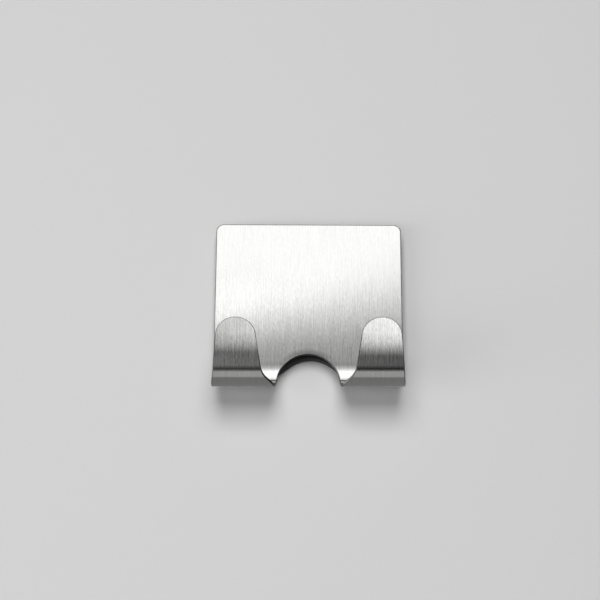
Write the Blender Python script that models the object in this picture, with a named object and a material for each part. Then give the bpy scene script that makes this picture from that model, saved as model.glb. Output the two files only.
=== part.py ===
"""Magnetic double hook: a bent stainless sheet bonded to a rubber-covered magnet pad.

Metres, +Z up. The wall is the plane Y = 0 behind the object and the front faces -Y.
The origin is the middle of the magnets, on the rubber face that sits on the wall.
"""

from math import acos, asin, ceil, cos, pi, radians, sin, tan

import bmesh
import bpy
from mathutils import Vector

# Sheet metal of the hook
SHEET_THICKNESS = 0.0007
PLATE_WIDTH = 0.050
PLATE_LENGTH = 0.0402           # along the sheet, from the top edge down to the start of the bend
LEAN_LENGTH = 0.031             # lower stretch of the plate that leans out gently before the bend
LEAN_ANGLE = radians(4.0)       # how far the plate has turned where the bend starts
TOP_CORNER_RADIUS = 0.0021
BEND_INNER_RADIUS = 0.0095      # round bend that brings the tongues up again

# Tongues, measured on the flat sheet
TONGUE_RISE = 0.0044            # straight stretch above the bend
TONGUE_TIP_WIDTH = 0.0092
TONGUE_OUTER_TAPER = 0.0016     # outer edge draws in by this much from the bend to the tip
TAPER_BLEND_REACH = 0.0015      # tangent length of the soft corner where that taper starts
FLARE_LENGTH = 0.0060           # sloping stretch that narrows the tongue above its root
FLARE_WIDTH = 0.0031
FLARE_ROOT_REACH = 0.0035       # tangent length of the rounding below the flare
FLARE_TOP_REACH = 0.0016        # tangent length of the rounding above the flare

# Round-headed cut-out between the tongues
ARCH_HALF_WIDTH = 0.0074        # at the level of its crown, where the sides would meet it
ARCH_RISE = 0.0022              # crown above the start of the bend
ARCH_SPLAY = radians(5.0)       # lean of its straight sides

# Magnet pad
MAGNET_LENGTH = 0.020
MAGNET_HEIGHT = 0.0148
MAGNET_THICKNESS = 0.0012
MAGNET_SPACING = 0.0016         # between neighbours, room for a rubber rib
MAGNET_EDGE = 0.0003
YOKE_THICKNESS = 0.0006
YOKE_MARGIN = 0.0007            # yoke beyond the block of magnets
YOKE_CORNER_RADIUS = 0.0015
JACKET_WALL = 0.0017
JACKET_SKIN = 0.0006            # rubber between the magnets and the wall
JACKET_EDGE = 0.0006
JACKET_APRON = 0.0055           # rubber that reaches down below the tray, behind the bend
TAPE_THICKNESS = 0.0005         # where the plate is straight
TAPE_INSET = 0.0015             # tape edge inside the jacket's edge
TAPE_CORNER_RADIUS = 0.0020
PLATE_ABOVE_PAD = 0.0009        # plate's top edge above the pad's top edge

CLEARANCE = 0.0003              # between pieces that touch on the real hook
CUT_OVERSHOOT = 0.0010          # how far a cutter stands out of the face that it opens

LEAN_STEPS = 8
BEND_STEPS = 32
ARC_STEP = radians(5.0)
BLOCK_CORNER_STEPS = 5
JACKET_EDGE_STEPS = 3
SHARP_ANGLE = radians(30.0)

# Levels from the wall towards the front, as distances along -Y
MAGNET_BACK = JACKET_SKIN + CLEARANCE
YOKE_BACK = MAGNET_BACK + MAGNET_THICKNESS + CLEARANCE
JACKET_FRONT = YOKE_BACK + YOKE_THICKNESS
TAPE_BACK = JACKET_FRONT + CLEARANCE
PLATE_BACK = TAPE_BACK + TAPE_THICKNESS + CLEARANCE

# Pad sizes that follow from the magnets
MAGNET_BLOCK_LENGTH = 2 * MAGNET_LENGTH + MAGNET_SPACING
MAGNET_BLOCK_HEIGHT = 2 * MAGNET_HEIGHT + MAGNET_SPACING
YOKE_LENGTH = MAGNET_BLOCK_LENGTH + 2 * YOKE_MARGIN
YOKE_HEIGHT = MAGNET_BLOCK_HEIGHT + 2 * YOKE_MARGIN
JACKET_GROWTH = CLEARANCE + JACKET_WALL
JACKET_LENGTH = YOKE_LENGTH + 2 * JACKET_GROWTH
TRAY_HEIGHT = YOKE_HEIGHT + 2 * JACKET_GROWTH
JACKET_CORNER_RADIUS = YOKE_CORNER_RADIUS + JACKET_GROWTH

# Lean and bend: arc lengths run along the middle of the sheet
LEAN_RADIUS = LEAN_LENGTH / LEAN_ANGLE
LEAN_TOP = TRAY_HEIGHT / 2 + PLATE_ABOVE_PAD - (PLATE_LENGTH - LEAN_LENGTH)
BEND_MIDDLE_RADIUS = BEND_INNER_RADIUS + SHEET_THICKNESS / 2
BEND_LENGTH = (pi - LEAN_ANGLE) * BEND_MIDDLE_RADIUS
BEND_TO_LOWEST = (pi / 2 - LEAN_ANGLE) * BEND_MIDDLE_RADIUS


def material(name, colour, roughness, metallic):
    """A Principled material of one colour."""
    made = bpy.data.materials.new(name)
    made.use_nodes = True
    shader = made.node_tree.nodes["Principled BSDF"]
    shader.inputs["Base Color"].default_value = (*colour, 1.0)
    shader.inputs["Roughness"].default_value = roughness
    shader.inputs["Metallic"].default_value = metallic
    return made


def add_object(name, shape, finish):
    """Turn a bmesh into a named object of the scene."""
    mesh = bpy.data.meshes.new(name)
    shape.to_mesh(mesh)
    shape.free()
    mesh.materials.append(finish)
    mesh.shade_smooth()
    mesh.set_sharp_from_angle(angle=SHARP_ANGLE)
    made = bpy.data.objects.new(name, mesh)
    bpy.context.scene.collection.objects.link(made)
    return made


def round_corner(before, corner, after, reach):
    """Points of the arc that leaves both sides of a corner at the given tangent length."""
    inward = (before - corner).normalized()
    onward = (after - corner).normalized()
    half_angle = acos(inward.dot(onward)) / 2
    radius = reach * tan(half_angle)
    centre = corner + (inward + onward).normalized() * (radius / sin(half_angle))
    start = corner + inward * reach - centre
    turn = (corner + onward * reach - centre).angle_signed(start)
    steps = max(2, ceil(abs(turn) / ARC_STEP))
    points = []
    for step in range(steps + 1):
        angle = turn * step / steps
        points.append(centre + Vector((
            start.x * cos(angle) - start.y * sin(angle),
            start.x * sin(angle) + start.y * cos(angle),
        )))
    return points


def half_outline():
    """Corners of the flat sheet's right half as (across, along, tangent length).

    Along is 0 at the start of the bend and grows down the plate and up the tongue.
    """
    side = PLATE_WIDTH / 2
    bottom = BEND_TO_LOWEST
    tip = BEND_LENGTH + TONGUE_RISE
    tip_outer = side - TONGUE_OUTER_TAPER
    tip_inner = tip_outer - TONGUE_TIP_WIDTH
    root = ARCH_HALF_WIDTH + (bottom + ARCH_RISE) * tan(ARCH_SPLAY)
    return [
        (side, -PLATE_LENGTH, TOP_CORNER_RADIUS),
        (side, bottom, TAPER_BLEND_REACH),
        (tip_outer, tip, TONGUE_TIP_WIDTH / 2),
        (tip_inner, tip, TONGUE_TIP_WIDTH / 2),
        (root + FLARE_WIDTH, bottom + FLARE_LENGTH, FLARE_TOP_REACH),
        (root, bottom, FLARE_ROOT_REACH),
        (ARCH_HALF_WIDTH, -ARCH_RISE, ARCH_HALF_WIDTH),
    ]


def sheet_outline():
    """Closed outline of the flat sheet, as points with rounded corners."""
    right = half_outline()
    left = [(-across, along, reach) for across, along, reach in reversed(right)]
    corners = right + left
    points = []
    for index, (across, along, reach) in enumerate(corners):
        before = Vector(corners[index - 1][:2])
        after = Vector(corners[(index + 1) % len(corners)][:2])
        for point in round_corner(before, Vector((across, along)), after, reach):
            if not points or (point - points[-1]).length > CLEARANCE / 10:
                points.append(point)
    return points


def cut_rows(shape, axis, places):
    """Cut a shape across an axis at each place, so that it can follow a curve."""
    for place in places:
        bmesh.ops.bisect_plane(
            shape,
            geom=shape.verts[:] + shape.edges[:] + shape.faces[:],
            plane_co=Vector(axis) * place,
            plane_no=axis,
        )


def fold(across, along, depth):
    """Place a point of the flat sheet on the bent one; depth runs from its front face."""
    lean = min(max((along + LEAN_LENGTH) / LEAN_RADIUS, 0.0), LEAN_ANGLE)
    turn = lean + min(max(along, 0.0), BEND_LENGTH) / BEND_MIDDLE_RADIUS
    straight = max(-along - LEAN_LENGTH, 0.0) + max(along - BEND_LENGTH, 0.0)
    out = LEAN_RADIUS * (1 - cos(lean)) + BEND_MIDDLE_RADIUS * (cos(lean) - cos(turn))
    down = LEAN_RADIUS * sin(lean) + BEND_MIDDLE_RADIUS * (sin(turn) - sin(lean)) - straight
    behind = depth - SHEET_THICKNESS / 2
    return Vector((
        across,
        -(PLATE_BACK + SHEET_THICKNESS / 2) - out + behind * cos(turn),
        LEAN_TOP - down - behind * sin(turn),
    ))


def hook_plate():
    """One sheet: plate, round bend and two tongues with an arch between them."""
    shape = bmesh.new()
    outline = [shape.verts.new((point.x, point.y, 0.0)) for point in sheet_outline()]
    face = shape.faces.new(outline)
    grown = bmesh.ops.extrude_face_region(shape, geom=[face])
    for vert in (item for item in grown["geom"] if isinstance(item, bmesh.types.BMVert)):
        vert.co.z = SHEET_THICKNESS
    bmesh.ops.recalc_face_normals(shape, faces=shape.faces[:])
    cut_rows(shape, (0.0, 1.0, 0.0), [-LEAN_LENGTH * step / LEAN_STEPS for step in range(1, LEAN_STEPS + 1)])
    cut_rows(shape, (0.0, 1.0, 0.0), [BEND_LENGTH * step / BEND_STEPS for step in range(BEND_STEPS + 1)])
    for vert in shape.verts:
        vert.co = fold(*vert.co)
    add_object("hook_plate", shape, material("brushed_stainless", (0.62, 0.62, 0.61), 0.28, 1.0))


def block(length, height, back, front, corner_radius):
    """Upright block with round corners as seen from the front, between two levels."""
    shape = bmesh.new()
    bmesh.ops.create_cube(shape, size=1.0)
    for vert in shape.verts:
        vert.co.x *= length
        vert.co.y = -back if vert.co.y > 0 else -front
        vert.co.z *= height
    upright = [edge for edge in shape.edges if abs((edge.verts[0].co - edge.verts[1].co).y) > 0]
    bmesh.ops.bevel(
        shape, geom=upright, offset=corner_radius, segments=BLOCK_CORNER_STEPS,
        profile=0.5, affect="EDGES",
    )
    return shape


def magnet_places():
    """Name and centre (across, up) of each magnet in the two-by-two block."""
    across = (MAGNET_LENGTH + MAGNET_SPACING) / 2
    up = (MAGNET_HEIGHT + MAGNET_SPACING) / 2
    return [
        ("upper_left", -across, up),
        ("upper_right", across, up),
        ("lower_left", -across, -up),
        ("lower_right", across, -up),
    ]


def magnets():
    """Four flat magnet blocks between the yoke and the rubber skin."""
    for place, across, up in magnet_places():
        shape = block(
            MAGNET_LENGTH, MAGNET_HEIGHT, MAGNET_BACK, MAGNET_BACK + MAGNET_THICKNESS, MAGNET_EDGE,
        )
        finish = material("nickel_plating_" + place, (0.70, 0.69, 0.66), 0.30, 1.0)
        made = add_object("magnet_" + place, shape, finish)
        made.location = (across, 0.0, up)


def yoke_plate():
    """Steel plate that the magnets cling to and that closes their field."""
    shape = block(YOKE_LENGTH, YOKE_HEIGHT, YOKE_BACK, JACKET_FRONT, YOKE_CORNER_RADIUS)
    add_object("yoke_plate", shape, material("zinc_plated_steel", (0.58, 0.59, 0.60), 0.42, 1.0))


def lean_out(up):
    """How far the plate has leaned out from its straight part at a height."""
    lean = asin(max(LEAN_TOP - up, 0.0) / LEAN_RADIUS)
    return LEAN_RADIUS * (1 - cos(lean))


def foam_tape():
    """Double-sided foam tape between the pad and the plate, thicker where the plate leans out."""
    front = TAPE_BACK + TAPE_THICKNESS
    shape = block(
        JACKET_LENGTH - 2 * TAPE_INSET, TRAY_HEIGHT - 2 * TAPE_INSET,
        TAPE_BACK, front, TAPE_CORNER_RADIUS,
    )
    places = [LEAN_TOP - LEAN_LENGTH * step / LEAN_STEPS for step in range(LEAN_STEPS)]
    cut_rows(shape, (0.0, 0.0, 1.0), places)
    for vert in shape.verts:
        if vert.co.y < -(TAPE_BACK + front) / 2:
            vert.co.y -= lean_out(vert.co.z)
    add_object("foam_tape", shape, material("dark_foam", (0.11, 0.11, 0.115), 0.85, 0.0))


def cut_away(target, cutter):
    """Take a cutter's shape out of the target and keep the cutter as a guide."""
    cutter.hide_render = True
    cutter.display_type = "WIRE"
    cut = target.modifiers.new(cutter.name, "BOOLEAN")
    cut.operation = "DIFFERENCE"
    cut.solver = "EXACT"
    cut.object = cutter


def arch_notch():
    """Prism that carries the plate's arch on through the pad's apron, a clearance wider."""
    crown = fold(0.0, -ARCH_RISE, SHEET_THICKNESS).z + CLEARANCE
    half_width = ARCH_HALF_WIDTH + CLEARANCE
    foot = min(-TRAY_HEIGHT / 2 - JACKET_APRON - CUT_OVERSHOOT, crown - 2 * half_width)
    corner = Vector((half_width, crown))
    right_foot = Vector((half_width + (crown - foot) * tan(ARCH_SPLAY), foot))
    right = [right_foot, *round_corner(right_foot, corner, Vector((-half_width, crown)), half_width)]
    left = [Vector((-point.x, point.y)) for point in reversed(right[:-1])]
    shape = bmesh.new()
    face = shape.faces.new([shape.verts.new((point.x, CUT_OVERSHOOT, point.y)) for point in right + left])
    grown = bmesh.ops.extrude_face_region(shape, geom=[face])
    for vert in (item for item in grown["geom"] if isinstance(item, bmesh.types.BMVert)):
        vert.co.y = -JACKET_FRONT - CUT_OVERSHOOT
    bmesh.ops.recalc_face_normals(shape, faces=shape.faces[:])
    return shape


def rubber_jacket():
    """Moulded rubber tray around the magnets, open towards the plate, with a notched apron below."""
    shape = block(JACKET_LENGTH, TRAY_HEIGHT + JACKET_APRON, 0.0, JACKET_FRONT, JACKET_CORNER_RADIUS)
    bmesh.ops.translate(shape, vec=(0.0, 0.0, -JACKET_APRON / 2), verts=shape.verts[:])
    wall_side = [edge for edge in shape.edges if all(vert.co.y > -JACKET_SKIN for vert in edge.verts)]
    bmesh.ops.bevel(
        shape, geom=wall_side, offset=JACKET_EDGE, segments=JACKET_EDGE_STEPS,
        profile=0.5, affect="EDGES",
    )
    rubber = material("black_rubber", (0.022, 0.022, 0.023), 0.72, 0.0)
    jacket = add_object("rubber_jacket", shape, rubber)

    mouth = JACKET_FRONT + CUT_OVERSHOOT
    seat = block(
        YOKE_LENGTH + 2 * CLEARANCE, YOKE_HEIGHT + 2 * CLEARANCE,
        YOKE_BACK - CLEARANCE, mouth, YOKE_CORNER_RADIUS + CLEARANCE,
    )
    cut_away(jacket, add_object("yoke_seat_cutter", seat, rubber))
    cut_away(jacket, add_object("arch_notch_cutter", arch_notch(), rubber))
    for place, across, up in magnet_places():
        pocket = block(
            MAGNET_LENGTH + 2 * CLEARANCE, MAGNET_HEIGHT + 2 * CLEARANCE,
            JACKET_SKIN, mouth, MAGNET_EDGE + CLEARANCE,
        )
        cutter = add_object("pocket_cutter_" + place, pocket, rubber)
        cutter.location = (across, 0.0, up)
        cut_away(jacket, cutter)


def main():
    """Clear the scene and build every piece of the hook."""
    for old in list(bpy.data.objects):
        bpy.data.objects.remove(old, do_unlink=True)
    hook_plate()
    foam_tape()
    yoke_plate()
    magnets()
    rubber_jacket()


if __name__ == "__main__":
    main()
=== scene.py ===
"""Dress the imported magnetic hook: brushed sheet, magnet pad, pale board and soft studio light."""

import logging
import math
from dataclasses import dataclass
from enum import Enum
from typing import Any, Callable, Mapping, Optional, Sequence, Union

import bmesh
import bpy
from mathutils import Matrix, Vector


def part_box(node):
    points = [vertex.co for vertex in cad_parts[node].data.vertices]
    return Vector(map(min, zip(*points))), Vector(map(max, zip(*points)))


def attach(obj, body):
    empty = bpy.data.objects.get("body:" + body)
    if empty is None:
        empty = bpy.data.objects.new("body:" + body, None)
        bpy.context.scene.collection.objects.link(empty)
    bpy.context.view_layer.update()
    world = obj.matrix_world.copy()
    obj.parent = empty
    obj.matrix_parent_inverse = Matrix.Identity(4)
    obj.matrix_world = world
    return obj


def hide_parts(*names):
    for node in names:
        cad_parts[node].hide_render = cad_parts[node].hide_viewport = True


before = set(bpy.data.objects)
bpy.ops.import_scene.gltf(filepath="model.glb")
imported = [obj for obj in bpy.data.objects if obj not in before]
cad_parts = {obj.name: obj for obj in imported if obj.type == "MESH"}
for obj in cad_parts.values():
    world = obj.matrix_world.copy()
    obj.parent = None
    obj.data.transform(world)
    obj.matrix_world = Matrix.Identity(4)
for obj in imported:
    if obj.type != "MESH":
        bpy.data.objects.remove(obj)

log = logging.getLogger("magnetic_hook")

Colour = tuple[float, float, float]
Pair = tuple[float, float]
Sizes = tuple[float, float, float]
Corner = tuple[float, float, float]

MM = 0.001
CUT_EDGE = "cut_edge"
NOISE_MEAN = 0.5
SAME_POINT = 1e-7
ON_CUT = 1e-8
OFF_FACE = 1e-6


class Op(Enum):
    """Math operations that shader expressions use."""

    ADD = "ADD"
    SUBTRACT = "SUBTRACT"
    MULTIPLY = "MULTIPLY"
    GREATER = "GREATER_THAN"
    ARCSINE = "ARCSINE"


class VectorOp(Enum):
    """Vector Math operations that finishes use."""

    MULTIPLY = "MULTIPLY"
    SCALE = "SCALE"
    DISTANCE = "DISTANCE"


class Axis(Enum):
    """Axes of a flat skin that its cuts are square to."""

    ACROSS = 0
    ALONG = 1


class Value:
    """A number socket; Python operators on it add Math nodes to its tree."""

    def __init__(self, tree: "ShaderTree", socket: bpy.types.NodeSocket) -> None:
        """Keep the socket and the tree it belongs to."""
        self.tree = tree
        self.socket = socket

    def _math(self, op: Op, first: "Number", second: "Number" = 0.0) -> "Value":
        """Add one Math node.

        Args:
            op: The operation.
            first: Left operand.
            second: Right operand.

        Returns:
            The node's result.
        """
        node = self.tree.add("ShaderNodeMath", {"operation": op.value}, {0: first, 1: second})
        return Value(self.tree, node.outputs[0])

    def __add__(self, other: "Number") -> "Value":
        """Return self + other."""
        return self._math(Op.ADD, self, other)

    def __radd__(self, other: "Number") -> "Value":
        """Return other + self."""
        return self._math(Op.ADD, other, self)

    def __sub__(self, other: "Number") -> "Value":
        """Return self - other."""
        return self._math(Op.SUBTRACT, self, other)

    def __rsub__(self, other: "Number") -> "Value":
        """Return other - self."""
        return self._math(Op.SUBTRACT, other, self)

    def __mul__(self, other: "Number") -> "Value":
        """Return self * other."""
        return self._math(Op.MULTIPLY, self, other)

    def __rmul__(self, other: "Number") -> "Value":
        """Return other * self."""
        return self._math(Op.MULTIPLY, other, self)

    def __gt__(self, other: "Number") -> "Value":
        """Return 1 where self is over other, else 0."""
        return self._math(Op.GREATER, self, other)

    def arcsine(self) -> "Value":
        """Return the angle whose sine this is, in radians."""
        return self._math(Op.ARCSINE, self)

    def swing(self, reach: float) -> "Value":
        """Return how far noise strays from its mean, times reach."""
        return (self - NOISE_MEAN) * reach


Number = Union[Value, float]
Socket = Union[Value, bpy.types.NodeSocket, float, Sequence[float]]
Settings = Mapping[str, Any]
Sockets = Mapping[Union[str, int], Socket]


@dataclass(frozen=True)
class Ramp:
    """A result that runs from start to end while its source runs from low to high, level beyond."""

    low: float
    high: float
    start: float = 0.0
    end: float = 1.0


class ShaderTree:
    """The node tree of one material or world, emptied and ready for nodes."""

    def __init__(self, owner: Union[bpy.types.Material, bpy.types.World]) -> None:
        """Switch the owner to nodes and clear its tree.

        Args:
            owner: The material or world.
        """
        owner.use_nodes = True
        self.nodes = owner.node_tree.nodes
        self.links = owner.node_tree.links
        self.nodes.clear()

    def add(self, kind: str, settings: Optional[Settings] = None,
            sockets: Optional[Sockets] = None) -> bpy.types.Node:
        """Add any node.

        Args:
            kind: Blender's name of the node type.
            settings: Properties that are set first.
            sockets: Values or links of the node's inputs, by name or number.

        Returns:
            The new node.
        """
        node = self.nodes.new(kind)
        for name, setting in (settings or {}).items():
            setattr(node, name, setting)
        for key, given in (sockets or {}).items():
            source = given.socket if isinstance(given, Value) else given
            if isinstance(source, bpy.types.NodeSocket):
                self.links.new(source, node.inputs[key])
            else:
                node.inputs[key].default_value = source
        return node

    def value(self, kind: str, settings: Optional[Settings] = None, sockets: Optional[Sockets] = None,
              output: Union[str, int] = 0) -> Value:
        """Add any node and wrap one of its outputs.

        Args:
            kind: Blender's name of the node type.
            settings: Properties that are set first.
            sockets: Values or links of the node's inputs.
            output: Name or number of the output to wrap.

        Returns:
            That output, ready for shader maths.
        """
        return Value(self, self.add(kind, settings, sockets).outputs[output])

    def vector(self, op: VectorOp, sockets: Sockets) -> bpy.types.Node:
        """Add one Vector Math node."""
        return self.add("ShaderNodeVectorMath", {"operation": op.value}, sockets)

    def surface(self, sockets: Sockets) -> bpy.types.NodeSocket:
        """Add the shader that every finish ends in."""
        return self.add("ShaderNodeBsdfPrincipled", None, sockets).outputs[0]

    def fade(self, source: Number, ramp: Ramp) -> Value:
        """Carry a value along a ramp.

        Args:
            source: The value.
            ramp: Where it goes.

        Returns:
            The carried value.
        """
        sockets = {"Value": source, "From Min": ramp.low, "From Max": ramp.high,
                   "To Min": ramp.start, "To Max": ramp.end}
        return self.value("ShaderNodeMapRange", {"clamp": True}, sockets)

    def blend(self, share: Number, first: Socket, second: Socket) -> bpy.types.NodeSocket:
        """Mix two colours.

        Args:
            share: How much of the second colour shows.
            first: Colour at share 0.
            second: Colour at share 1.

        Returns:
            The mixed colour.
        """
        settings = {"data_type": "RGBA", "blend_type": "MIX"}
        return self.add("ShaderNodeMix", settings, {0: share, 6: first, 7: second}).outputs[2]

    def place(self) -> bpy.types.NodeSocket:
        """Give the piece's own coordinates."""
        return self.add("ShaderNodeTexCoord").outputs["Object"]

    def parts(self, vector: bpy.types.NodeSocket) -> list[Value]:
        """Split a vector into its three numbers."""
        split = self.add("ShaderNodeSeparateXYZ", None, {0: vector})
        return [Value(self, output) for output in split.outputs]

    def stretched(self, size: Sizes) -> bpy.types.NodeSocket:
        """Give the piece's own coordinates counted in grains.

        Args:
            size: Length of one grain along each of the piece's axes, in metres.

        Returns:
            The stretched coordinates.
        """
        counts = tuple(1.0 / length for length in size)
        return self.vector(VectorOp.MULTIPLY, {0: self.place(), 1: counts}).outputs[0]

    def noise(self, size: Sizes, detail: float = 2.0, roughness: float = 0.5) -> Value:
        """Noise with grains of a given size.

        Args:
            size: Length of one grain along each of the piece's axes, in metres.
            detail: Octaves of finer noise.
            roughness: Share of each finer octave.

        Returns:
            The noise, 0 to 1 about its mean.
        """
        sockets = {"Vector": self.stretched(size), "Scale": 1.0, "Detail": detail, "Roughness": roughness}
        return self.value("ShaderNodeTexNoise", {"noise_dimensions": "3D"}, sockets)

    def cells(self, size: float) -> bpy.types.Node:
        """Add a pattern of even cells of a given size, in metres."""
        sockets = {"Vector": self.stretched((size,) * 3), "Scale": 1.0}
        return self.add("ShaderNodeTexVoronoi", {"feature": "F1"}, sockets)

    def bump(self, height: Number, distance: float, strength: float = 1.0) -> bpy.types.NodeSocket:
        """Turn a height into a surface normal.

        Args:
            height: Height, 0 to 1.
            distance: What a height of 1 is, in metres.
            strength: Share of the bump that shows.

        Returns:
            The bent normal.
        """
        sockets = {"Height": height, "Distance": distance, "Strength": strength}
        return self.add("ShaderNodeBump", None, sockets).outputs[0]


@dataclass(frozen=True)
class Finish:
    """What every finish of the hook shares.

    Attributes:
        name: Name of its material.
        colour: Its plain colour, linear.
        roughness: Its mean roughness.
    """

    name: str
    colour: Colour
    roughness: float

    def material(self) -> bpy.types.Material:
        """Make the finish as a material.

        Returns:
            The material, with the finish's shader on its surface.
        """
        material = bpy.data.materials.new(self.name)
        tree = ShaderTree(material)
        surface = self.shade(tree)
        tree.add("ShaderNodeOutputMaterial", None, {"Surface": surface})
        material.diffuse_color = (*self.colour, 1.0)
        material.roughness = self.roughness
        return material

    def shade(self, tree: ShaderTree) -> bpy.types.NodeSocket:
        """Build the finish's shader; each finish has its own."""
        raise NotImplementedError

    def tinted(self, tree: ShaderTree, tone: Value) -> bpy.types.NodeSocket:
        """Multiply the plain colour by a tone of about 1."""
        return tree.vector(VectorOp.SCALE, {0: self.colour, "Scale": tone}).outputs[0]


@dataclass(frozen=True)
class HairlineSteel(Finish):
    """Stainless sheet with a straight brushed finish that runs up the plate and round the bend.

    Attributes:
        hairline: Width of one hairline.
        strokes: Lengths of the long and the short hairlines.
        band: Length and width of the broader bands that a brush leaves.
        shares: How strongly short hairlines and bands show beside the long hairlines.
        contrast: How far hairlines stray from the mean tone on the lower plate.
        deepest: How many times as far they stray on the lower tongues.
        faintest: How many times as far they stray on the upper plate, in the bend and under it.
        plate: Heights between which they grow faint up the plate.
        bend: Heights between which the bend begins.
        under: Heights between which its underside ends.
        tongues: Places along Y between which tongues give way to the bend.
        relief: How deep the hairlines are.
        handled: Size of the clouds that handling leaves in the gloss.
        hazes: How far hairlines and handling change the roughness.
        anisotropy: How much wider the gloss spreads across the hairlines than along them.
        gloss_turn: Share of a full turn that lays the wide gloss across the hairlines.
        edge_shade: How much painted shade darkens the sheet's cut edges.
        edge_haze: How much rougher they are.
        arch: Height of the arch's centre in the frame, and its radius.
        crown_shade_tone: How much painted shade darkens the sheet over the arch's crown.
        crown_shade_width: How far that reaches from the arch.
        crown_shade_rise: Heights over the crown between which it begins to show.
    """

    hairline: float = 0.12 * MM
    strokes: Pair = (7.0 * MM, 1.1 * MM)
    band: Pair = (14.0 * MM, 0.5 * MM)
    shares: Pair = (0.8, 0.15)
    contrast: float = 0.86
    deepest: float = 1.7
    faintest: float = 0.3
    plate: Pair = (-10.0 * MM, 6.0 * MM)
    bend: Pair = (-25.0 * MM, -20.0 * MM)
    under: Pair = (-29.0 * MM, -26.5 * MM)
    tongues: Pair = (-20.0 * MM, -14.0 * MM)
    relief: float = 0.0015 * MM
    handled: Sizes = (9.0 * MM, 9.0 * MM, 7.0 * MM)
    hazes: Pair = (0.06, 0.04)
    anisotropy: float = 1.0
    gloss_turn: float = 0.25
    edge_shade: float = 0.55
    edge_haze: float = 0.25
    arch: Pair = (0.0, 0.0)
    crown_shade_tone: float = 0.62
    crown_shade_width: float = 1.9 * MM
    crown_shade_rise: Pair = (-3.5 * MM, 0.3 * MM)

    def shade(self, tree: ShaderTree) -> bpy.types.NodeSocket:
        """Build the brushed steel.

        Args:
            tree: The tree to build in.

        Returns:
            The shader.
        """
        long, short = self.strokes
        tick_share, band_share = self.shares
        hairline_haze, handling_haze = self.hazes
        band_length, band_width = self.band
        hairlines = tree.noise((long, long, self.hairline), detail=2.0, roughness=0.6)
        ticks = tree.noise((short, short, self.hairline), detail=1.0)
        bands = tree.noise((band_length, band_length, band_width), detail=1.0)
        handling = tree.noise(self.handled, detail=3.0)
        cut = tree.value("ShaderNodeAttribute", {"attribute_name": CUT_EDGE}, None, "Fac")
        place = tree.place()
        along, height, _ = tree.parts(place)
        brushed = hairlines - NOISE_MEAN + ticks.swing(tick_share) + bands.swing(band_share)
        # The hairlines are real, but their strength by place is painted light: glints on the tongues, hidden
        # by gloss on the upper plate and in the bend.
        tone = 1.0 + brushed * self.depth(tree, along, height)
        # Painted shade darkens the cut edges and a band over the arch's crown.
        tone = tone * (1.0 - cut * self.edge_shade) * (1.0 - self.drawn(tree, place, height))
        roughness = self.roughness + hairlines.swing(hairline_haze) + handling.swing(handling_haze)
        return tree.surface({
            "Base Color": self.tinted(tree, tone),
            "Metallic": 1.0,
            "Roughness": roughness + cut * self.edge_haze,
            "Anisotropic": self.anisotropy,
            "Anisotropic Rotation": self.gloss_turn,
            "Normal": tree.bump(hairlines, self.relief),
        })

    def depth(self, tree: ShaderTree, along: Value, height: Value) -> Value:
        """Find how far hairlines stray by place, partly painted light: stronger as glints on the tongues,
        fainter where bright gloss falls.

        Args:
            tree: The tree to build in.
            along: Place along Y in the frame.
            height: Height in the frame.

        Returns:
            How far hairlines stray from the mean tone.
        """
        plate = tree.fade(height, Ramp(*self.plate, 1.0, self.faintest))
        tongue = tree.fade(along, Ramp(*self.tongues, self.deepest - 1.0, self.faintest - 1.0))
        bend = 1.0 + tree.fade(height, Ramp(*self.bend, 1.0, 0.0)) * tongue
        under = tree.fade(height, Ramp(*self.under, self.faintest, 1.0))
        return plate * bend * under * self.contrast

    def drawn(self, tree: ShaderTree, place: bpy.types.NodeSocket, height: Value) -> Value:
        """Find the painted shade over the arch's crown, a darker band next to the arch's edge.

        Args:
            tree: The tree to build in.
            place: The sheet's own coordinates.
            height: Height in the frame.

        Returns:
            How much the painted shade darkens the sheet.
        """
        # Painted shade: darker near the arch's edge, fading out over the crown's rise.
        centre, radius = self.arch
        begin, full = self.crown_shade_rise
        flat = tree.vector(VectorOp.MULTIPLY, {0: place, 1: (0.0, 1.0, 1.0)}).outputs[0]
        away = tree.vector(VectorOp.DISTANCE, {0: flat, 1: (0.0, centre, 0.0)})
        distance = Value(tree, away.outputs["Value"])
        near = tree.fade(distance, Ramp(radius, radius + self.crown_shade_width, self.crown_shade_tone, 0.0))
        return near * tree.fade(height, Ramp(centre + radius + begin, centre + radius + full))


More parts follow.
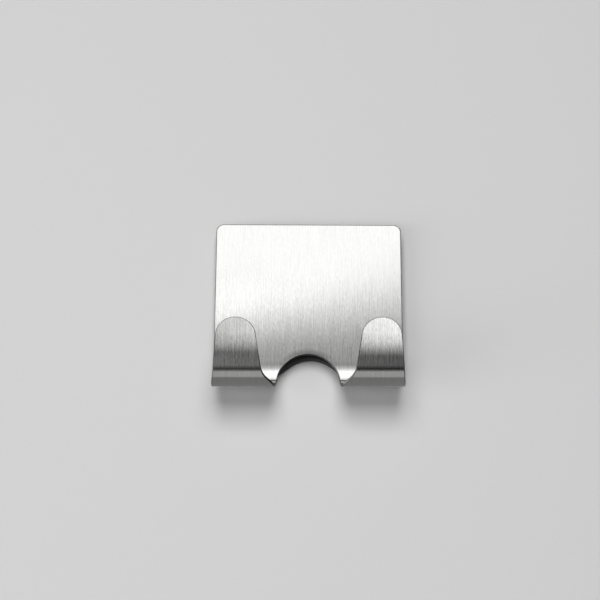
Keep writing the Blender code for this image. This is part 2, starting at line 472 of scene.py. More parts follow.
@dataclass(frozen=True)
class MouldedRubber(Finish):
    """Black moulded rubber with a fine matte grain and a little handling dust.

    Attributes:
        grain: Size of the mould's matte grain.
        relief: How deep the grain is.
        scuff: Size of one scuff.
        cloud: Size of the clouds that dust gathers in.
        scuffed: Noise at which scuffs begin and are whole.
        clouded: Noise at which clouds begin and are whole.
        dust: Colour of the handling dust, linear.
        dust_share: How much of it shows at most.
        hazes: How far grain and dust change the roughness.
        gloss: Its specular level.
    """

    grain: float = 0.16 * MM
    relief: float = 0.02 * MM
    scuff: Sizes = (0.7 * MM, 5.0 * MM, 1.6 * MM)
    cloud: float = 11.0 * MM
    scuffed: Ramp = Ramp(0.52, 0.78)
    clouded: Ramp = Ramp(0.38, 0.66)
    dust: Colour = (0.105, 0.104, 0.10)
    dust_share: float = 0.45
    hazes: Pair = (0.12, 0.16)
    gloss: float = 0.42

    def shade(self, tree: ShaderTree) -> bpy.types.NodeSocket:
        """Build the rubber.

        Args:
            tree: The tree to build in.

        Returns:
            The shader.
        """
        grain_haze, dust_haze = self.hazes
        grain = tree.noise((self.grain,) * 3)
        scuffs = tree.noise(self.scuff, detail=4.0, roughness=0.62)
        clouds = tree.noise((self.cloud,) * 3, detail=3.0)
        dusty = tree.fade(scuffs, self.scuffed) * tree.fade(clouds, self.clouded)
        return tree.surface({
            "Base Color": tree.blend(dusty * self.dust_share, (*self.colour, 1.0), (*self.dust, 1.0)),
            "Roughness": self.roughness + grain.swing(grain_haze) + dusty * dust_haze,
            "Specular IOR Level": self.gloss,
            "Normal": tree.bump(grain, self.relief, strength=0.6),
        })


@dataclass(frozen=True)
class CellFoam(Finish):
    """Dark closed-cell foam of a double-sided tape, with cut cells on its edge.

    Attributes:
        cell: Size of one foam cell.
        relief: How deep a cut cell is.
        cell_hollow_shade: How the tone runs from the middle of a cell to its wall; the darker middle is
            painted shade in the cut cell's hollow.
        cloud: Size of the clouds in its tone.
        cloud_tone: How far clouds stray from the mean tone.
        haze: How far they change the roughness.
    """

    cell: float = 0.13 * MM
    relief: float = 0.05 * MM
    cell_hollow_shade: Ramp = Ramp(0.1, 0.8, 0.9, 1.06)
    cloud: float = 3.0 * MM
    cloud_tone: float = 0.18
    haze: float = 0.1

    def shade(self, tree: ShaderTree) -> bpy.types.NodeSocket:
        """Build the foam.

        Args:
            tree: The tree to build in.

        Returns:
            The shader.
        """
        cells = Value(tree, tree.cells(self.cell).outputs["Distance"])
        clouds = tree.noise((self.cloud,) * 3, detail=3.0)
        # Painted shade: each cut cell is darker in its hollow middle.
        tone = tree.fade(cells, self.cell_hollow_shade) + clouds.swing(self.cloud_tone)
        return tree.surface({
            "Base Color": self.tinted(tree, tone),
            "Roughness": self.roughness + clouds.swing(self.haze),
            "Normal": tree.bump(cells, self.relief, strength=0.8),
        })


@dataclass(frozen=True)
class PlatedMetal(Finish):
    """A plated metal face with crystals in the plating and fine handling scratches.

    Attributes:
        crystal: Size of one crystal of the plating.
        spread: How far crystals stray from the mean tone.
        scratch: Size of one scratch.
        scratch_tone: How far scratches stray from the mean tone.
        relief: How deep they are.
        hazes: How far crystals and scratches change the roughness.
    """

    crystal: float = 1.5 * MM
    spread: float = 0.16
    scratch: Sizes = (0.12 * MM, 0.12 * MM, 6.0 * MM)
    scratch_tone: float = 0.12
    relief: float = 0.004 * MM
    hazes: Pair = (0.08, 0.14)

    def shade(self, tree: ShaderTree) -> bpy.types.NodeSocket:
        """Build the plating.

        Args:
            tree: The tree to build in.

        Returns:
            The shader.
        """
        crystal_haze, scratch_haze = self.hazes
        cells = tree.cells(self.crystal).outputs["Color"]
        crystals = tree.value("ShaderNodeSeparateColor", None, {"Color": cells}, "Red")
        scratches = tree.noise(self.scratch, detail=3.0, roughness=0.6)
        tone = 1.0 + crystals.swing(self.spread) + scratches.swing(self.scratch_tone)
        return tree.surface({
            "Base Color": self.tinted(tree, tone),
            "Metallic": 1.0,
            "Roughness": self.roughness + crystals.swing(crystal_haze) + scratches.swing(scratch_haze),
            "Normal": tree.bump(scratches, self.relief, strength=0.5),
        })


@dataclass(frozen=True)
class BoardPaint(Finish):
    """Pale matte paint of the board behind the hook; a camera behind the board looks through it.

    Attributes:
        nap: Size of the roller's nap.
        nap_tone: How far the nap strays from the mean tone.
        gloss: Its specular level.
    """

    nap: float = 1.2 * MM
    nap_tone: float = 0.02
    gloss: float = 0.1

    def shade(self, tree: ShaderTree) -> bpy.types.NodeSocket:
        """Build the paint.

        Args:
            tree: The tree to build in.

        Returns:
            The shader.
        """
        tone = 1.0 + tree.noise((self.nap,) * 3, detail=3.0).swing(self.nap_tone)
        front = tree.surface({
            "Base Color": self.tinted(tree, tone),
            "Roughness": self.roughness,
            "Specular IOR Level": self.gloss,
        })
        clear = tree.add("ShaderNodeBsdfTransparent").outputs[0]
        behind = tree.value("ShaderNodeNewGeometry", output="Backfacing")
        gloss = tree.value("ShaderNodeLightPath", output="Is Glossy Ray")
        unseen = behind + gloss > 0.5
        return tree.add("ShaderNodeMixShader", None, {0: unseen, 1: front, 2: clear}).outputs[0]


class Outline:
    """A closed flat outline that can be drawn in from its edge."""

    ARC_STEP = math.radians(3.0)

    def __init__(self, corners: Sequence[Corner]) -> None:
        """Round each corner of a polygon.

        Args:
            corners: Place of each corner and the length of side its rounding takes, anticlockwise.
        """
        self.points: list[Vector] = []
        count = len(corners)
        for index, (across, along, reach) in enumerate(corners):
            before = Vector(corners[index - 1][:2])
            after = Vector(corners[(index + 1) % count][:2])
            self.points.extend(self._rounding(before, Vector((across, along)), after, reach))

    def _rounding(self, before: Vector, corner: Vector, after: Vector, reach: float) -> list[Vector]:
        """Round one corner with an arc that leaves both sides smoothly.

        Args:
            before: Corner before this one.
            corner: The corner.
            after: Corner after this one.
            reach: Length that the arc takes from each side.

        Returns:
            Points of the arc in order.
        """
        inward = (before - corner).normalized()
        onward = (after - corner).normalized()
        half_angle = math.acos(inward.dot(onward)) / 2.0
        radius = reach * math.tan(half_angle)
        centre = corner + (inward + onward).normalized() * (radius / math.sin(half_angle))
        start = corner + inward * reach - centre
        turn = (corner + onward * reach - centre).angle_signed(start)
        steps = max(2, math.ceil(abs(turn) / self.ARC_STEP))
        return [centre + Matrix.Rotation(turn * step / steps, 2) @ start for step in range(steps + 1)]

    def drawn_in(self, inset: float) -> list[Vector]:
        """Draw the outline in from its edge.

        Args:
            inset: Distance from the edge.

        Returns:
            Points of the smaller outline.
        """
        drawn = []
        count = len(self.points)
        for index, point in enumerate(self.points):
            run = self.points[(index + 1) % count] - self.points[index - 1]
            outward = Vector((run.y, -run.x)).normalized()
            drawn.append(point - outward * inset)
        return drawn


@dataclass(frozen=True)
class Ring:
    """One ring of a skin: how far it is drawn in from the outline, and how deep it lies."""

    inset: float
    depth: float


def rounded_edge(radius: float, steps: int) -> list[Ring]:
    """Turn from a face at depth 0 to its side with a quarter round.

    Args:
        radius: Radius of the edge.
        steps: Faces in the quarter round.

    Returns:
        Rings from the face to the side.
    """
    angles = [math.pi / 2.0 * step / steps for step in range(steps + 1)]
    return [Ring(radius * (1.0 - math.sin(angle)), radius * (1.0 - math.cos(angle))) for angle in angles]


def far_side(rings: Sequence[Ring], depth: float) -> list[Ring]:
    """Mirror an edge to the far face of a piece, at a given depth."""
    return [Ring(ring.inset, depth - ring.depth) for ring in reversed(rings)]


def steps_between(start: float, end: float, length: float) -> list[float]:
    """Divide a stretch into even steps.

    Args:
        start: Where it starts.
        end: Where it ends.
        length: About how long a step is.

    Returns:
        Places of all steps, both ends among them.
    """
    count = max(1, round((end - start) / length))
    return [start + (end - start) * step / count for step in range(count + 1)]


class Skin:
    """A closed skin of rings over one outline, capped at both ends."""

    UNTURNED = Matrix.Identity(4)

    def __init__(self, outline: Outline, rings: Sequence[Ring]) -> None:
        """Join the rings into one closed mesh, flat sides first.

        Args:
            outline: The outline that every ring follows.
            rings: Rings from one cap to the other.
        """
        self.bm = bmesh.new()
        rows = []
        for ring in rings:
            points = outline.drawn_in(ring.inset)
            rows.append([self.bm.verts.new((*point, ring.depth)) for point in points])
        count = len(outline.points)
        for upper, lower in zip(rows, rows[1:]):
            for index in range(count):
                after = (index + 1) % count
                self.bm.faces.new((upper[index], upper[after], lower[after], lower[index]))
        self.bm.faces.new(rows[0])
        self.bm.faces.new(rows[-1])
        bmesh.ops.remove_doubles(self.bm, verts=self.bm.verts[:], dist=SAME_POINT)
        bmesh.ops.recalc_face_normals(self.bm, faces=self.bm.faces[:])

    def cut(self, axis: Axis, places: Sequence[float],
            faces: Optional[Sequence[bmesh.types.BMFace]] = None) -> None:
        """Cut rows into the skin so that it can bend between them.

        Args:
            axis: Axis that the cuts are square to.
            places: Where they cut.
            faces: Faces that are cut, or all.
        """
        normal = Vector((float(axis is Axis.ACROSS), float(axis is Axis.ALONG), 0.0))
        for place in places:
            picked = list(faces) if faces is not None else self.bm.faces[:]
            edges = list({edge for face in picked for edge in face.edges})
            verts = list({vert for face in picked for vert in face.verts})
            bmesh.ops.bisect_plane(self.bm, geom=verts + edges + picked, dist=ON_CUT,
                                   plane_co=normal * place, plane_no=normal)

    def finish(self, name: str, place: Callable[[Vector], Vector],
               turned: Matrix = UNTURNED) -> bpy.types.Object:
        """Put every point in its place and make the object.

        Args:
            name: Name of the piece.
            place: Carries a flat point (across, along, depth) to its place in the frame.
            turned: The object's own turn in the frame; its mesh is kept in that turn.

        Returns:
            The object, smooth shaded.
        """
        back = turned.inverted()
        for vert in self.bm.verts:
            vert.co = back @ place(vert.co)
        for face in self.bm.faces:
            face.smooth = True
        mesh = bpy.data.meshes.new(name)
        self.bm.to_mesh(mesh)
        self.bm.free()
        piece = bpy.data.objects.new(name, mesh)
        piece.matrix_world = turned
        bpy.context.scene.collection.objects.link(piece)
        return piece


@dataclass
class SheetHook:
    """The bent stainless sheet: plate, round bend, two tongues and the arch between them.

    Attributes:
        thickness: Thickness of the sheet.
        edge: Radius of its deburred edges.
        flat_rim: Width of the flat ring inside a deburred edge, rounding included.
        corner: Radius of the plate's top corners.
        ease: Length of plate that eases into the bend, at the middle.
        ease_slant: How much longer that is at the right side than at the middle.
        ease_angle: How far the plate has turned where the bend proper starts.
        springs: How far the left and right tongue turn past upright.
        tongue_height: Height of the tongue tips over the bottom of the bend.
        tip_width: Width of a round tongue tip.
        outer_taper: How far a tongue's outer side comes in towards its tip.
        taper_reach: Length of the rounding where that taper starts.
        flare: Length and width of the flare at a tongue's inner root.
        flare_reaches: Lengths of the roundings at the flare's top and root.
        crown_height: Height of the arch's crown over the bottom of the bend.
        arch_half_width: Half the arch's width at its crown.
        arch_splay: How far the arch's sides lean out.
        bend_gap: Gap between the bend and the nearest cut of the flat mesh at each end.
        plate_step: Length of the mesh's steps down the plate.
        bend_steps: Number of its steps round the bend.
        tongue_step: Length of its steps up the tongues.
        tongue_cuts: How far up the tongues these go.
        across_step: Width of its steps across the sheet.
    """

    thickness: float = 0.7 * MM
    edge: float = 0.16 * MM
    flat_rim: float = 0.256 * MM
    corner: float = 2.1 * MM
    ease: float = 31.0 * MM
    ease_slant: float = 7.0 * MM
    ease_angle: float = math.radians(4.0)
    springs: Pair = (math.radians(-0.2), math.radians(0.3))
    tongue_height: float = 14.75 * MM
    tip_width: float = 9.2 * MM
    outer_taper: float = 1.6 * MM
    taper_reach: float = 1.5 * MM
    flare: Pair = (4.8 * MM, 3.0 * MM)
    flare_reaches: Pair = (2.0 * MM, 2.8 * MM)
    crown_height: float = 11.7 * MM
    arch_half_width: float = 7.4 * MM
    arch_splay: float = math.radians(5.0)
    bend_gap: float = 0.3 * MM
    plate_step: float = 1.5 * MM
    bend_steps: int = 112
    tongue_step: float = 1.1 * MM
    tongue_cuts: float = 3.6 * MM
    across_step: float = 2.5 * MM

    EDGE_STEPS = 4
    ACROSS_UP = Matrix(((0, 0, 1, 0), (1, 0, 0, 0), (0, 1, 0, 0), (0, 0, 0, 1)))

    def __post_init__(self) -> None:
        """Work out the bend from the plate's box in the frame."""
        low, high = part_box("hook_plate")
        self.half_width = (high[0] - low[0]) / 2.0
        self.middle = high[1] - self.thickness / 2.0
        self.top = high[2]
        self.bottom = low[2]
        longest = self.ease + self.ease_slant
        ease_depth = longest / self.ease_angle * (1.0 - math.cos(self.ease_angle))
        reach = high[1] - low[1] - self.thickness - ease_depth
        self.radius = reach / (1.0 + math.cos(self.ease_angle))
        drop = self.radius * (1.0 - math.sin(self.ease_angle)) + self.thickness / 2.0
        self.bend_top = self.bottom + drop
        self.lowest = (math.pi / 2.0 - self.ease_angle) * self.radius
        self.bend_length = (math.pi - self.ease_angle) * self.radius

    def outline(self) -> Outline:
        """Lay out the flat sheet before it is bent.

        Returns:
            Its outline, across and along the sheet; along is 0 where the bend starts and grows down it.
        """
        upright = self.bend_top + self.radius * math.sin(self.ease_angle)
        tip = self.bend_length + self.bottom + self.tongue_height - upright
        crown = self.bend_top - self.bottom - self.crown_height
        tip_outer = self.half_width - self.outer_taper
        tip_inner = tip_outer - self.tip_width
        root = self.arch_half_width + (self.lowest - crown) * math.tan(self.arch_splay)
        flare_length, flare_width = self.flare
        flare_top, flare_root = self.flare_reaches
        right = [
            (self.half_width, self.bend_top - self.top, self.corner),
            (self.half_width, self.lowest, self.taper_reach),
            (tip_outer, tip, self.tip_width / 2.0),
            (tip_inner, tip, self.tip_width / 2.0),
            (root + flare_width, self.lowest + flare_length, flare_top),
            (root, self.lowest, flare_root),
            (self.arch_half_width, crown, self.arch_half_width),
        ]
        left = [(-across, along, reach) for across, along, reach in reversed(right)]
        return Outline(right + left)

    def arch_radius(self, half_width: float) -> float:
        """Give the radius of an arch that is this wide at its crown and splays as the hook's does."""
        return half_width * math.tan((math.pi / 2.0 + self.arch_splay) / 2.0)

    def arch_circle(self) -> Pair:
        """Give the height of the arch's centre in the frame, and the arch's radius."""
        radius = self.arch_radius(self.arch_half_width)
        return self.bottom + self.crown_height - radius, radius

    def rings(self) -> list[Ring]:
        """Give the sheet's section at its edge.

        Returns:
            Its rings, front to back, with a flat ring inside each rounding.
        """
        front = rounded_edge(self.edge, self.EDGE_STEPS)
        back = far_side(front, self.thickness)
        return [Ring(self.flat_rim, 0.0), *front, *back, Ring(self.flat_rim, self.thickness)]

    def mark_cut_edge(self, skin: Skin) -> None:
        """Mark the points of the flat sheet that lie on its cut edge, for the finish to darken with painted
        shade and roughen.

        Args:
            skin: The sheet's skin before it is bent.
        """
        marks = skin.bm.verts.layers.float.new(CUT_EDGE)
        for edge in skin.bm.edges:
            if any(OFF_FACE < vert.co.z < self.thickness - OFF_FACE for vert in edge.verts):
                for vert in edge.verts:
                    vert[marks] = 1.0

    def bent(self, flat: Vector) -> Vector:
        """Bend one point of the flat sheet.

        Args:
            flat: Its place across and along the sheet and through its thickness.

        Returns:
            Its place in the frame.
        """
        across, along, depth = flat
        ease = self.ease + self.ease_slant * across / self.half_width
        ease_radius = ease / self.ease_angle
        upright = math.pi + self.springs[int(across > 0.0)]
        bend_length = (upright - self.ease_angle) * self.radius
        y = self.middle
        z = self.bend_top - min(along, -ease)
        angle = min(max(along + ease, 0.0), ease) / ease_radius
        y += ease_radius * (math.cos(angle) - 1.0)
        z -= ease_radius * math.sin(angle)
        if along > 0.0:
            start = angle
            angle += min(along, bend_length) / self.radius
            y += self.radius * (math.cos(angle) - math.cos(start))
            z -= self.radius * (math.sin(angle) - math.sin(start))
            free = max(along - bend_length, 0.0)
            y -= free * math.sin(angle)
            z -= free * math.cos(angle)
        outward = depth - self.thickness / 2.0
        return Vector((across, y + outward * math.cos(angle), z - outward * math.sin(angle)))

    def back_of_plate(self, across: float, height: float) -> float:
        """Find the plate's back.

        Args:
            across: Place across the plate.
            height: Height in the frame.

        Returns:
            How far along Y the plate's back lies there.
        """
        ease = self.ease + self.ease_slant * across / self.half_width
        below = max(self.bend_top + ease - height, 0.0)
        return self.middle + self.thickness / 2.0 - below * below * self.ease_angle / (2.0 * ease)

    def build(self, steel: bpy.types.Material) -> bpy.types.Object:
        """Make the sheet and dress it.

        Args:
            steel: Its finish.

        Returns:
            The piece; its own Z axis lies across the plate, so that gloss follows the bent sheet.
        """
        skin = Skin(self.outline(), self.rings())
        end = self.bend_length
        plate = steps_between(self.bend_top - self.top, -self.bend_gap, self.plate_step)[1:]
        bend = steps_between(0.0, end, end / self.bend_steps)
        tongue = steps_between(end + self.bend_gap, end + self.tongue_cuts, self.tongue_step)
        skin.cut(Axis.ALONG, plate + bend + tongue)
        skin.cut(Axis.ACROSS, steps_between(-self.half_width, self.half_width, self.across_step)[1:-1])
        self.mark_cut_edge(skin)
        piece = skin.finish("hook_sheet", self.bent, self.ACROSS_UP)
        piece.data.materials.append(steel)
        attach(piece, "root")
        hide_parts("hook_plate")
        return piece


@dataclass
class MagnetPad:
    """The pad behind the plate: rubber jacket, foam tape, steel yoke and four magnets.

    Attributes:
        hook: The sheet that the tape is bonded to.
        corner: Radius of the jacket's corners.
        notch_shift: How much wider the notch is than the arch at each side, and how far right of it.
        notch_turn: How far the notch's round head turns from its crown to each straight side.
        notch_foot: Length of the rounding where the notch's sides reach the jacket's lower edge.
        edge: Radius of the jacket's edge at the wall.
        rim: Radius of the edge round its open side.
        flat_rim: Width of the flat ring inside both edges, rounding included.
        tape_corner: Radius of the tape's corners.
        tape_edge: Rounding of the pressed tape's edge.
        tape_rim: Width of the flat ring inside that edge, rounding included.
        tape_steps: Width and height of the steps of the tape's mesh.
        clearance: Gap between the pieces in the jacket and its seat.
        film: Thickness of adhesive that the tape leaves free at each face.
    """

    hook: SheetHook
    corner: float = 3.5 * MM
    notch_shift: float = 0.6 * MM
    notch_turn: float = math.radians(37.0)
    notch_foot: float = 0.6 * MM
    edge: float = 0.6 * MM
    rim: float = 0.25 * MM
    flat_rim: float = 0.9 * MM
    tape_corner: float = 2.0 * MM
    tape_edge: float = 0.22 * MM
    tape_rim: float = 0.44 * MM
    tape_steps: Pair = (4.0 * MM, 2.0 * MM)
    clearance: float = 0.3 * MM
    film: float = 0.02 * MM

    MAGNETS = ("magnet_upper_left", "magnet_upper_right", "magnet_lower_left", "magnet_lower_right")
    EDGE_STEPS = 6
    RIM_STEPS = 3
    TAPE_EDGE_STEPS = 4
    PICK_MARGIN = 1.01

    @staticmethod
    def block(low: Vector, high: Vector, corner: float) -> list[Corner]:
        """Lay out a block seen from the wall.

        Args:
            low: Its lowest corner in the frame.
            high: Its highest corner in the frame.
            corner: Radius of its corners.

        Returns:
            Its corners in X and Z, each with its rounding.
        """
        return [(high[0], low[2], corner), (high[0], high[2], corner),
                (low[0], high[2], corner), (low[0], low[2], corner)]

    def notch(self, low: Vector) -> list[Corner]:
        """Carry the hook's arch on through the jacket's foot.

        Args:
            low: The jacket's lowest corner in the frame.

        Returns:
            Corners of the notch in X and Z from left to right, each with its rounding.
        """
        crown = self.hook.bottom + self.hook.crown_height
        middle = self.notch_shift
        radius = self.hook.arch_radius(self.hook.arch_half_width + self.notch_shift)
        head = radius * math.tan(self.notch_turn / 2.0)
        foot = head + (crown - low[2]) / math.tan(self.notch_turn)
        return [(middle - foot, low[2], self.notch_foot), (middle - head, crown, head),
                (middle + head, crown, head), (middle + foot, low[2], self.notch_foot)]

    def jacket(self, rubber: bpy.types.Material) -> bpy.types.Object:
        """Make the rubber jacket with its yoke seat and magnet pockets.

        Args:
            rubber: Its finish.

        Returns:
            The piece.
        """
        low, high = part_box("rubber_jacket")
        depth = high[1] - low[1]
        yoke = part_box("yoke_plate")
        seat = high[1] - yoke[1][1] - self.clearance
        edge = rounded_edge(self.edge, self.EDGE_STEPS)
        rim = far_side(rounded_edge(self.rim, self.RIM_STEPS), depth)
        rings = [Ring(self.flat_rim, 0.0), *edge, *rim, Ring(self.flat_rim, depth)]
        skin = Skin(Outline(self.block(low, high, self.corner) + self.notch(low)), rings)
        self.sink(skin, yoke, depth, seat)
        for magnet in map(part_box, self.MAGNETS):
            self.sink(skin, magnet, seat, high[1] - magnet[1][1] - self.clearance)
        piece = skin.finish("pad_jacket", lambda flat: Vector((flat.x, high[1] - flat.z, flat.y)))
        piece.data.materials.append(rubber)
        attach(piece, "root")
        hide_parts("rubber_jacket")
        return piece

    def sink(self, skin: Skin, held: tuple[Vector, Vector], level: float, floor: float) -> None:
        """Sink a pocket into a flat level of the jacket.

        Args:
            skin: The jacket's skin.
            held: Lowest and highest corner of the piece that the pocket holds.
            level: Depth of the flat level.
            floor: Depth of the pocket's floor.
        """
        low, high = held
        for axis, side in ((Axis.ACROSS, 0), (Axis.ALONG, 2)):
            for place in (low[side] - self.clearance, high[side] + self.clearance):
                skin.cut(axis, [place], self.at_level(skin, level))
        gap = self.clearance * self.PICK_MARGIN
        inside = [face for face in self.at_level(skin, level)
                  if all(low[0] - gap < vert.co.x < high[0] + gap for vert in face.verts)
                  and all(low[2] - gap < vert.co.y < high[2] + gap for vert in face.verts)]
        pushed = bmesh.ops.extrude_face_region(skin.bm, geom=inside)["geom"]
        bmesh.ops.delete(skin.bm, geom=inside, context="FACES")
        for item in pushed:
            if isinstance(item, bmesh.types.BMVert):
                item.co.z = floor

    @staticmethod
    def at_level(skin: Skin, level: float) -> list[bmesh.types.BMFace]:
        """Pick the faces of a skin that lie flat at one depth."""
        return [face for face in skin.bm.faces
                if all(abs(vert.co.z - level) < SAME_POINT for vert in face.verts)]

    def tape(self, foam: bpy.types.Material) -> bpy.types.Object:
        """Make the foam tape, pressed between the jacket and the plate's back.

        Args:
            foam: Its finish.

        Returns:
            The piece.
        """
        low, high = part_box("foam_tape")
        jacket_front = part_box("rubber_jacket")[0][1]
        # The flat tape is one metre deep, far more than its edges, so a depth tells which face it belongs to.
        depth = 1.0
        edge = rounded_edge(self.tape_edge, self.TAPE_EDGE_STEPS)
        rings = [Ring(self.tape_rim, 0.0), *edge, *far_side(edge, depth), Ring(self.tape_rim, depth)]
        skin = Skin(Outline(self.block(low, high, self.tape_corner)), rings)
        width, height = self.tape_steps
        skin.cut(Axis.ALONG, steps_between(low[2], high[2], height)[1:-1])
        skin.cut(Axis.ACROSS, steps_between(low[0], high[0], width)[1:-1])

        def pressed(flat: Vector) -> Vector:
            """Lay one point of the flat tape at the jacket's face or at the plate's back.

            Args:
                flat: Its place across and up the tape and through its depth.

            Returns:
                Its place in the frame.
            """
            if flat.z < depth / 2.0:
                y = jacket_front - self.film - flat.z
            else:
                y = self.hook.back_of_plate(flat.x, flat.y) + self.film + (depth - flat.z)
            return Vector((flat.x, y, flat.y))

        piece = skin.finish("pad_tape", pressed)
        piece.data.materials.append(foam)
        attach(piece, "root")
        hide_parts("foam_tape")
        return piece

    def build(self, rubber: bpy.types.Material, foam: bpy.types.Material,
              zinc: bpy.types.Material, nickel: bpy.types.Material) -> list[bpy.types.Object]:
        """Make and dress the whole pad.

        Args:
            rubber: Finish of the jacket.
            foam: Finish of the tape.
            zinc: Finish of the yoke.
            nickel: Finish of the magnets.

        Returns:
            Its pieces, the magnets and yoke being the CAD's own nodes.
        """
        pieces = [self.jacket(rubber), self.tape(foam)]
        for name in ("yoke_plate", *self.MAGNETS):
            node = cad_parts[name]
            node.data.materials.clear()
            node.data.materials.append(zinc if name == "yoke_plate" else nickel)
            pieces.append(node)
        return pieces


@dataclass(frozen=True)
class SoftLamp:
    """One soft lamp that faces the hook.

    Attributes:
        name: Its name.
        turn: Its direction in degrees, from straight in front towards the right.
        rise: Its direction in degrees above level.
        distance: How far it stands from the hook.
        size: Width and height of its panel.
        power: Its power in watts.
    """

    name: str
    turn: float
    rise: float
    distance: float
    size: Pair
    power: float

    def build(self, target: Vector) -> bpy.types.Object:
        """Make the lamp.

        Args:
            target: What it faces.

        Returns:
            The lamp; gloss doesn't show it.
        """
        data = bpy.data.lights.new(self.name, "AREA")
        data.shape = "RECTANGLE"
        data.size, data.size_y = self.size
        data.energy = self.power
        lamp = bpy.data.objects.new(self.name, data)
        turn, rise = math.radians(self.turn), math.radians(self.rise)
        away = Vector((math.sin(turn) * math.cos(rise), -math.cos(turn) * math.cos(rise), math.sin(rise)))
        lamp.matrix_world = away.to_track_quat("Z", "Y").to_matrix().to_4x4()
        lamp.matrix_world.translation = target + away * self.distance
        lamp.visible_glossy = False
        bpy.context.scene.collection.objects.link(lamp)
        return lamp


@dataclass(frozen=True)
class Strip:
    """One even strip of the room; between two strips the light runs straight from one to the other.

    Attributes:
        low: Angle at which it begins.
        high: Angle at which it ends.
        level: Its brightness.
    """

    low: float
    high: float
    level: float


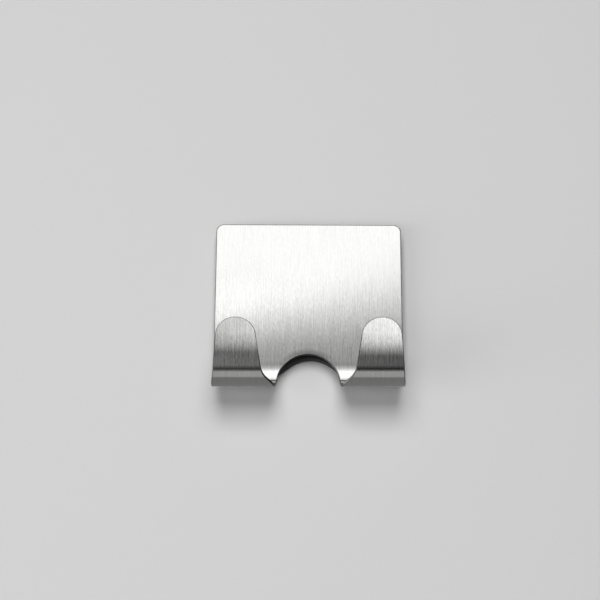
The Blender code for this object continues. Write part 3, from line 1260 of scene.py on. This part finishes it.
@dataclass(frozen=True)
class Surroundings:
    """The soft room that the hook's gloss shows: white overhead, pale in front, dark below.

    Angles are in degrees, from straight down (0) over the front (90), overhead (180) and the wall's
    side (270) back to straight down (360). Sides run from -1 at the far left to 1 at the far right.

    Attributes:
        floor: The dark floor.
        step: The grey step before the front.
        foot: Where the front begins to brighten.
        front: Where it is pale.
        sill: Where it ends, under the window.
        window: The bright strip that the plate shows.
        lintel: The dull strip over the window.
        cove: Where the room turns overhead.
        overhead: The white overhead.
        joint: The dark joint between overhead and wall.
        wall: The wall's side.
        wall_foot: The paler strip at the wall's foot.
        corner: The dark corner between wall and floor.
        backdrop: Grey that the camera sees past the board.
        right: Brightness by side towards the right.
        left: Brightness by side towards the left.
        left_wall: What the far left gains on the wall's side, which only cut edges show.
        tilt: Sides between which the room is brighter at one side than at the other.
        front_tilt: How much brighter by angle, from the floor to the front; below 0 the left is brighter.
        front_end: Where that ends.
        upper_tilt: How much brighter by angle over the strip that the tongues show.
        upper_end: Where that ends.
        second: Whether the sheet reflects itself, by ray depth: 0 in a first reflection, 1 in a second.
        second_kept: How much light a second reflection keeps in the bend, by angle.
        second_rest: What it keeps besides, nearer the front.
        third: How much of that a third reflection keeps, by ray depth.
    """

    floor: Strip = Strip(0.0, 6.5, 0.015)
    step: Strip = Strip(17.0, 46.0, 0.17)
    foot: Strip = Strip(57.0, 57.0, 0.285)
    front: Strip = Strip(87.0, 87.0, 0.87)
    sill: Strip = Strip(111.6, 111.6, 1.08)
    window: Strip = Strip(112.4, 115.0, 1.59)
    lintel: Strip = Strip(117.4, 127.0, 0.41)
    cove: Strip = Strip(139.5, 139.5, 0.74)
    overhead: Strip = Strip(152.5, 190.5, 1.62)
    joint: Strip = Strip(193.5, 195.0, 0.12)
    wall: Strip = Strip(197.0, 329.5, 0.22)
    wall_foot: Strip = Strip(332.5, 353.0, 0.44)
    corner: Strip = Strip(356.5, 360.0, 0.01)
    backdrop: float = 0.63
    right: Ramp = Ramp(0.25, 0.75, 1.0, 0.2)
    left: Ramp = Ramp(-0.95, -0.4, 0.7, 1.0)
    left_wall: Ramp = Ramp(-0.85, -0.5, 9.0, 0.0)
    tilt: Ramp = Ramp(-0.17, 0.17, -0.17, 0.17)
    front_tilt: Ramp = Ramp(44.0, 56.0, -6.2, 5.6)
    front_end: Ramp = Ramp(110.5, 112.0, 1.0, 0.0)
    upper_tilt: Ramp = Ramp(116.5, 118.0, 0.0, -4.0)
    upper_end: Ramp = Ramp(128.0, 136.0, 1.0, 0.0)
    second: Ramp = Ramp(2.0, 3.0)
    second_kept: Ramp = Ramp(169.0, 173.0, 0.1, 1.0)
    second_rest: Ramp = Ramp(160.0, 167.0, 0.2, 0.0)
    third: Ramp = Ramp(3.0, 4.0, 1.0, 0.25)

    def level(self, tree: ShaderTree, angle: Value) -> Number:
        """Read the light by angle.

        Args:
            tree: The tree to build in.
            angle: The angle that is looked at.

        Returns:
            Its brightness.
        """
        strips = (self.floor, self.step, self.foot, self.front, self.sill, self.window, self.lintel,
                  self.cove, self.overhead, self.joint, self.wall, self.wall_foot, self.corner)
        level: Number = self.floor.level
        for before, after in zip(strips, strips[1:]):
            level = level + tree.fade(angle, Ramp(before.high, after.low, 0.0, after.level - before.level))
        return level

    def sides(self, tree: ShaderTree, angle: Value, across: Value, wall_side: Value) -> Value:
        """Find how the light changes from side to side.

        Args:
            tree: The tree to build in.
            angle: The angle that is looked at.
            across: The side that is looked at.
            wall_side: 1 on the wall's side, else 0.

        Returns:
            What its brightness is multiplied by.
        """
        sides = tree.fade(across, self.right) * tree.fade(across, self.left)
        sides = sides * (1.0 + wall_side * tree.fade(across, self.left_wall))
        front = tree.fade(angle, self.front_tilt) * tree.fade(angle, self.front_end)
        upper = tree.fade(angle, self.upper_tilt) * tree.fade(angle, self.upper_end)
        return sides * (1.0 + tree.fade(across, self.tilt) * (front + upper))

    def reflected(self, tree: ShaderTree, angle: Value, bounces: Value) -> Value:
        """Find how much of the light is left where the sheet reflects itself.

        Args:
            tree: The tree to build in.
            angle: The angle that is looked at.
            bounces: Ray depth.

        Returns:
            What its brightness is multiplied by.
        """
        kept = tree.fade(angle, self.second_kept) + tree.fade(angle, self.second_rest)
        return (1.0 - tree.fade(bounces, self.second) * (1.0 - kept)) * tree.fade(bounces, self.third)

    def build(self) -> bpy.types.World:
        """Make the room as the scene's world.

        Returns:
            The world; it lights gloss alone.
        """
        world = bpy.data.worlds.new("soft_studio")
        bpy.context.scene.world = world
        tree = ShaderTree(world)
        way = tree.add("ShaderNodeTexCoord").outputs["Generated"]
        across, along, up = tree.parts(way)
        slope = up.arcsine() * math.degrees(1.0)
        wall_side = along > 0.0
        angle = (slope + 90.0) * (1.0 - wall_side) + (270.0 - slope) * wall_side
        path = tree.add("ShaderNodeLightPath")
        bounces = Value(tree, path.outputs["Ray Depth"])
        shown = self.level(tree, angle) * self.sides(tree, angle, across, wall_side)
        shown = shown * self.reflected(tree, angle, bounces)
        white = (1.0, 1.0, 1.0, 1.0)
        grey = (*(self.backdrop,) * 3, 1.0)
        lit = tree.add("ShaderNodeBackground", None, {"Color": white, "Strength": shown}).outputs[0]
        pale = tree.add("ShaderNodeBackground", None, {"Color": grey, "Strength": 1.0}).outputs[0]
        mixed = tree.add("ShaderNodeMixShader", None, {0: path.outputs["Is Camera Ray"], 1: lit, 2: pale})
        tree.add("ShaderNodeOutputWorld", None, {"Surface": mixed.outputs[0]})
        world.cycles_visibility.diffuse = False
        return world


@dataclass
class Studio:
    """Board, lamps and camera.

    Attributes:
        hook: The sheet that the camera looks at.
        tilt: How far below the plate's normal the camera stands.
        distance: From the camera to the plate's front.
        focal: Focal length, in pixels of the frame.
        frame_side: Width and height of the frame, in pixels.
        sensor: Width of the camera's sensor, in millimetres.
        nearest: Nearest distance that the camera shows.
        aim: Where the camera's axis meets the plate's front, across and up.
        roll: The camera's roll.
        lamps: Lamps that light the board and the pad; gloss shows the surroundings instead.
        board_gap: Gap between the wall plane and the board.
        board_side: Width and height of the board.
    """

    hook: SheetHook
    tilt: float = math.radians(22.0)
    distance: float = 509.6 * MM
    focal: float = 1906.0
    frame_side: float = 600.0
    sensor: float = 36.0
    nearest: float = 10.0 * MM
    aim: Pair = (-2.25 * MM, -2.9 * MM)
    roll: float = math.radians(0.27)
    lamps: tuple[SoftLamp, ...] = (
        SoftLamp("key_lamp", -2.0, 11.0, 1.0, (0.5, 0.5), 5.6),
        SoftLamp("low_lamp", -4.0, -24.0, 1.0, (0.5, 0.45), 1.58),
        SoftLamp("left_lamp", -55.0, -20.0, 1.0, (0.9, 0.5), 2.65),
        SoftLamp("wall_side_lamp", 180.0, 20.0, 1.0, (1.6, 1.0), 9.0))
    board_gap: float = 0.2 * MM
    board_side: float = 5.0

    def camera(self) -> bpy.types.Object:
        """Set the camera at the photograph's viewing angle.

        Returns:
            The camera.
        """
        data = bpy.data.cameras.new("camera")
        data.sensor_width = self.sensor
        data.lens = self.focal / self.frame_side * data.sensor_width
        data.clip_start = self.nearest
        camera = bpy.data.objects.new("camera", data)
        look = Vector((0.0, math.cos(self.tilt), math.sin(self.tilt)))
        level = Vector((1.0, 0.0, 0.0))
        upward = level.cross(look)
        right = level * math.cos(self.roll) + upward * math.sin(self.roll)
        upward = right.cross(look)
        front = self.hook.middle - self.hook.thickness / 2.0
        place = Vector((self.aim[0], front, self.aim[1])) - look * self.distance
        camera.matrix_world = Matrix((right, upward, -look)).transposed().to_4x4()
        camera.matrix_world.translation = place
        bpy.context.scene.collection.objects.link(camera)
        bpy.context.scene.camera = camera
        return camera

    def board(self, paint: bpy.types.Material) -> bpy.types.Object:
        """Make the flat board that the hook hangs on.

        Args:
            paint: Its finish.

        Returns:
            The staged board; it casts no shadow, so it keeps no light from the hook's back.
        """
        half = self.board_side / 2.0
        corners = [(-half, self.board_gap, -half), (half, self.board_gap, -half),
                   (half, self.board_gap, half), (-half, self.board_gap, half)]
        mesh = bpy.data.meshes.new("board")
        mesh.from_pydata(corners, [], [(0, 1, 2, 3)])
        mesh.materials.append(paint)
        board = bpy.data.objects.new("board", mesh)
        bpy.context.scene.collection.objects.link(board)
        board.visible_shadow = False
        return board


def main() -> None:
    """Build the hook's pieces in order, then the studio round them."""
    logging.basicConfig(level=logging.INFO, format="%(message)s")
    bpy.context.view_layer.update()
    bpy.context.scene.view_settings.view_transform = "Standard"

    hook = SheetHook()
    steel = HairlineSteel("brushed_stainless", (0.64, 0.64, 0.632), 0.14, arch=hook.arch_circle()).material()
    rubber = MouldedRubber("moulded_rubber", (0.021, 0.021, 0.022), 0.62).material()
    foam = CellFoam("closed_cell_foam", (0.11, 0.11, 0.115), 0.85).material()
    zinc = PlatedMetal("zinc_plating", (0.55, 0.56, 0.58), 0.42).material()
    nickel = PlatedMetal("nickel_plating", (0.66, 0.63, 0.58), 0.24, crystal=0.5 * MM, spread=0.06).material()
    paint = BoardPaint("board_paint", (0.82, 0.82, 0.82), 0.9).material()

    sheet = hook.build(steel)
    log.info("sheet: %s, %d faces", sheet.name, len(sheet.data.polygons))
    for piece in MagnetPad(hook).build(rubber, foam, zinc, nickel):
        log.info("pad: %s, %d faces", piece.name, len(piece.data.polygons))

    studio = Studio(hook)
    log.info("camera: %s", studio.camera().name)
    log.info("stage: %s", studio.board(paint).name)
    log.info("light: %s", Surroundings().build().name)
    for lamp in studio.lamps:
        log.info("light: %s", lamp.build(Vector((0.0, 0.0, 0.0))).name)


if __name__ == "__main__":
    main()
